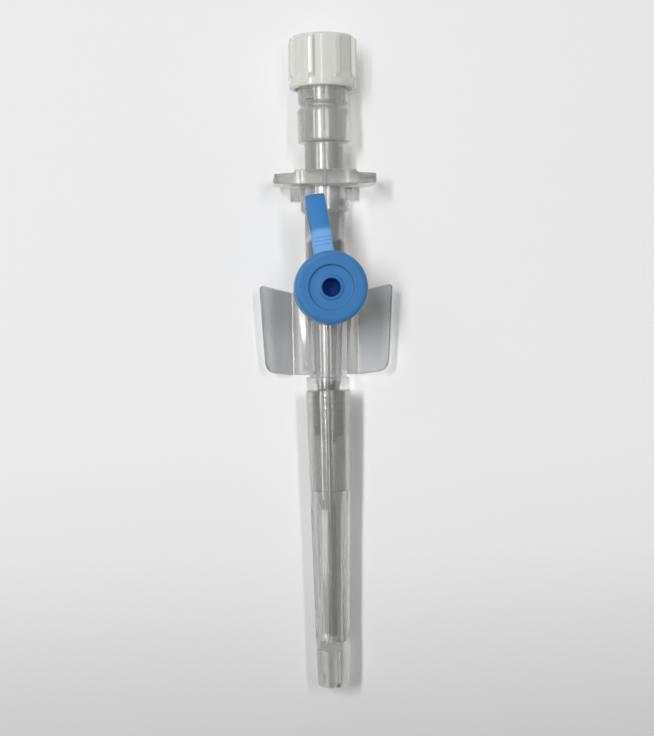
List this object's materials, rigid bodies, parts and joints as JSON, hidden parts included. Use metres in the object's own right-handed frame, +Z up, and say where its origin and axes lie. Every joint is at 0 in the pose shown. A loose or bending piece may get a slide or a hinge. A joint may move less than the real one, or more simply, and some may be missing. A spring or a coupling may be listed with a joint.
{
  "type": "iv cannula",
  "caption": "Ported winged intravenous cannula with flashback chamber, ribbed Luer cap, blue port cap on a strap, and clear needle cover.",
  "frame": {"origin": "middle of the length and width, on the surface that the base plate rests on", "axes": "+Y along the device axis towards the Luer cap, -Y towards the needle's tip; +Z up through the injection port; +X to the right when the Luer cap is at the top"},
  "size_m": [0.0186, 0.09, 0.0168],
  "materials": {
    "white_plastic": "moulded satin",
    "clear_hub": "clear moulded gloss",
    "clear_wing": "clear soft satin",
    "clear_grip": "clear moulded gloss",
    "clear_cover": "clear moulded satin gloss",
    "blue_plastic": "moulded satin",
    "needle_steel": "drawn and polished",
    "ferrule_steel": "bright",
    "tube_plastic": "smooth translucent",
    "silicone": "smooth translucent",
    "filter": "sintered porous",
    "adhesive": "set clear"
  },
  "bodies": {
    "hub": {"catheter_hub": "clear_hub", "port_valve": "silicone", "ferrule": "ferrule_steel", "catheter_tube": "tube_plastic"},
    "cover": {"needle_cover": "clear_cover"},
    "needle_unit": {"needle": "needle_steel", "needle_grip": "clear_grip", "needle_bond": "adhesive", "flashback_chamber": "clear_grip", "vent_filter": "filter"},
    "luer_cap": {"luer_lock_cap": "white_plastic"},
    "wing_left": {"wing_left": "clear_wing"},
    "wing_right": {"wing_right": "clear_wing"},
    "cap_swivel": {"port_cap_ring": "blue_plastic", "port_cap_strap": "blue_plastic"},
    "port_cap": {"port_cap": "blue_plastic"}
  },
  "joints": [
    {"name": "cover_pull", "type": "slide", "parent": "hub", "child": "cover", "axis": [0, -1, 0], "range_m": [0, 0.04]},
    {"name": "needle_pull", "type": "slide", "parent": "hub", "child": "needle_unit", "axis": [0, 1, 0], "range_m": [0, 0.064]},
    {"name": "luer_cap_pull", "type": "slide", "parent": "needle_unit", "child": "luer_cap", "axis": [0, 1, 0], "range_m": [0, 0.012]},
    {"name": "wing_left_fold", "type": "hinge", "parent": "hub", "child": "wing_left", "pos_m": [-0.0049, 0.004, 0.00035], "axis": [0, 1, 0], "range_deg": [-40, 45], "stiffness_Nm_per_rad": 0.0001},
    {"name": "wing_right_fold", "type": "hinge", "parent": "hub", "child": "wing_right", "pos_m": [0.0049, 0.004, 0.00035], "axis": [0, -1, 0], "range_deg": [-40, 45], "stiffness_Nm_per_rad": 0.0001},
    {"name": "strap_swivel", "type": "hinge", "parent": "hub", "child": "cap_swivel", "pos_m": [0, 0.0097, 0.00475], "axis": [0, 0, 1], "range_deg": [-180, 180]},
    {"name": "port_cap_lift", "type": "slide", "parent": "cap_swivel", "child": "port_cap", "axis": [0, 0, 1], "range_m": [0, 0.006], "deforming": ["port_cap_strap"]}
  ]
}
